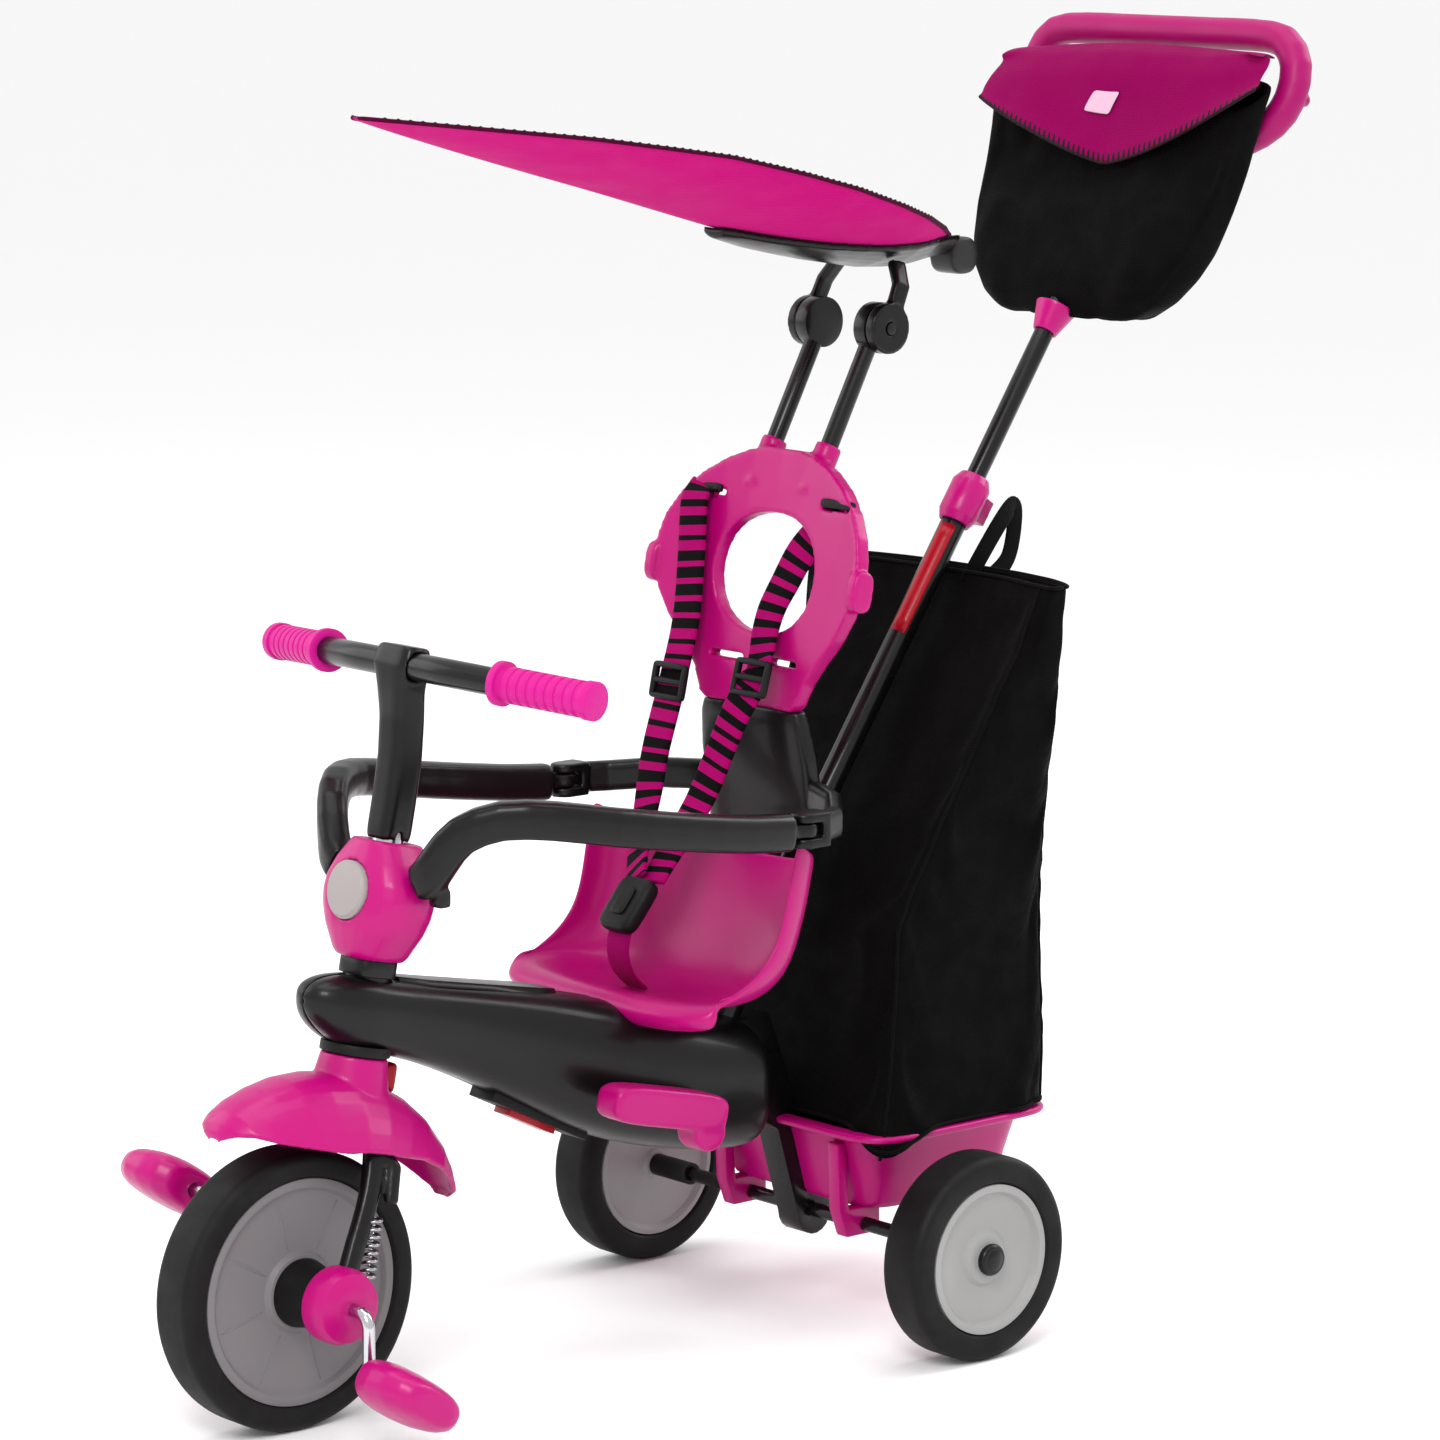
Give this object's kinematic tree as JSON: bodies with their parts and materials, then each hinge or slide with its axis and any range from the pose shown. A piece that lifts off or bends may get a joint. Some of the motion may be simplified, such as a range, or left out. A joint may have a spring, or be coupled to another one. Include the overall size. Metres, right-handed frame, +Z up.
{
  "type": "children's tricycle",
  "caption": "Children's tricycle with bucket seat, opening safety hoop, leaf canopy, adjustable push pole, pouch and rear storage bag.",
  "frame": {"origin": "centre of the bounding box at the ground, between the wheels", "axes": "-Y faces the front wheel, +X is the rider's left, +Z is up from the ground"},
  "size_m": [0.465, 1.0865, 1.0749],
  "materials": {
    "pink_plastic": "satin gloss",
    "handle_pink": "satin",
    "pink_grip": "matte",
    "black_plastic": "satin",
    "black_metal": "satin black paint",
    "chrome_rod": "polished",
    "grey_plastic": "satin",
    "badge_grey": "satin",
    "red_plastic": "satin gloss",
    "tyre_rubber": "matte",
    "canopy_fabric": "woven",
    "black_fabric": "woven nylon",
    "flap_fabric": "woven",
    "harness_webbing": "striped webbing"
  },
  "bodies": {
    "frame": {"head_tube": "black_metal", "head_bushes": "black_plastic", "body_shell_left": "black_plastic", "body_shell_right": "black_plastic", "top_cover": "black_plastic", "main_tube": "black_metal", "column": "black_plastic", "steering_hub": "pink_plastic", "hub_badge": "badge_grey", "hoop_brackets": "black_plastic", "seat": "pink_plastic", "backrest_lower": "black_plastic", "backrest": "pink_plastic", "canopy_rods": "black_metal", "harness_straps": "harness_webbing", "harness_buckle": "black_plastic", "rear_frame": "black_metal", "rear_axle": "black_metal", "axle_sleeves": "black_plastic", "basket": "pink_plastic", "storage_bag": "black_fabric", "bag_loop": "black_fabric", "pole_lower": "black_metal", "pole_clamp": "pink_plastic", "latch_housing": "black_plastic"},
    "steering": {"fork": "black_plastic", "hub_covers": "pink_plastic", "fork_springs": "chrome_rod", "front_fender": "pink_plastic", "steerer_tube": "chrome_rod", "stem": "black_plastic", "handlebar": "black_metal", "grips": "pink_grip"},
    "steering_lock_button": {"steering_button": "red_plastic"},
    "front_wheel": {"front_tyre": "tyre_rubber", "front_rims": "grey_plastic", "front_hub": "black_plastic", "crank_axle": "chrome_rod"},
    "left_pedal": {"pedal_left": "pink_plastic"},
    "right_pedal": {"pedal_right": "pink_plastic"},
    "left_rear_wheel": {"rear_tyre_left": "tyre_rubber", "rear_rim_left": "grey_plastic"},
    "right_rear_wheel": {"rear_tyre_right": "tyre_rubber", "rear_rim_right": "grey_plastic"},
    "left_hoop": {"hoop_arm_left": "black_plastic"},
    "right_hoop": {"hoop_arm_right": "black_plastic"},
    "canopy": {"canopy_arms": "black_plastic", "canopy_holder": "black_plastic", "canopy_clip": "grey_plastic", "canopy_sheet": "canopy_fabric"},
    "push_handle": {"pole_upper": "black_metal", "pole_collar": "pink_plastic", "handle": "handle_pink", "pouch": "black_fabric", "pouch_flap": "flap_fabric"},
    "pole_button": {"clamp_button": "red_plastic"},
    "release_button": {"handle_button": "handle_pink"},
    "footrests": {"footrest": "pink_plastic", "footrest_rod": "chrome_rod"},
    "latch": {"footrest_latch": "red_plastic"}
  },
  "joints": [
    {"name": "steer", "type": "hinge", "parent": "frame", "child": "steering", "pos_m": [0, -0.3645, 0.2875], "axis": [0, 0.2011, 0.9796], "range_deg": [-35, 35]},
    {"name": "steering_lock_press", "type": "slide", "parent": "steering", "child": "steering_lock_button", "axis": [0, -0.9796, 0.2011], "range_m": [0, 0.003], "stiffness_N_per_m": 800},
    {"name": "front_wheel_spin", "type": "hinge", "parent": "steering", "child": "front_wheel", "pos_m": [0, -0.433, 0.111], "axis": [1, 0, 0], "continuous": true},
    {"name": "left_pedal_spin", "type": "hinge", "parent": "front_wheel", "child": "left_pedal", "pos_m": [0.15, -0.433, 0.057], "axis": [1, 0, 0], "continuous": true},
    {"name": "right_pedal_spin", "type": "hinge", "parent": "front_wheel", "child": "right_pedal", "pos_m": [-0.15, -0.433, 0.165], "axis": [1, 0, 0], "continuous": true},
    {"name": "left_rear_spin", "type": "hinge", "parent": "frame", "child": "left_rear_wheel", "pos_m": [0.208, 0.11, 0.085], "axis": [1, 0, 0], "continuous": true},
    {"name": "right_rear_spin", "type": "hinge", "parent": "frame", "child": "right_rear_wheel", "pos_m": [-0.208, 0.11, 0.085], "axis": [1, 0, 0], "continuous": true},
    {"name": "left_hoop_open", "type": "hinge", "parent": "frame", "child": "left_hoop", "pos_m": [0.15, -0.028, 0.446], "axis": [0, 0, 1], "range_deg": [0, 75]},
    {"name": "right_hoop_open", "type": "hinge", "parent": "frame", "child": "right_hoop", "pos_m": [-0.15, -0.028, 0.446], "axis": [0, 0, -1], "range_deg": [0, 75]},
    {"name": "canopy_tilt", "type": "hinge", "parent": "frame", "child": "canopy", "pos_m": [0, 0.1535, 0.828], "axis": [1, 0, 0], "range_deg": [-12, 22]},
    {"name": "pole_height", "type": "slide", "parent": "frame", "child": "push_handle", "axis": [0, 0.5577, 0.83], "range_m": [-0.12, 0.06]},
    {"name": "pole_button_press", "type": "slide", "parent": "frame", "child": "pole_button", "axis": [0, -0.83, 0.5577], "range_m": [0, 0.003], "stiffness_N_per_m": 800},
    {"name": "release_button_press", "type": "slide", "parent": "push_handle", "child": "release_button", "axis": [0, -1, 0], "range_m": [0, 0.003], "stiffness_N_per_m": 800},
    {"name": "footrest_fold", "type": "hinge", "parent": "frame", "child": "footrests", "pos_m": [0, -0.078, 0.196], "axis": [1, 0, 0], "range_deg": [0, 60]},
    {"name": "latch_press", "type": "slide", "parent": "frame", "child": "latch", "axis": [0, 0.8988, -0.4384], "range_m": [0, 0.005], "stiffness_N_per_m": 600}
  ]
}
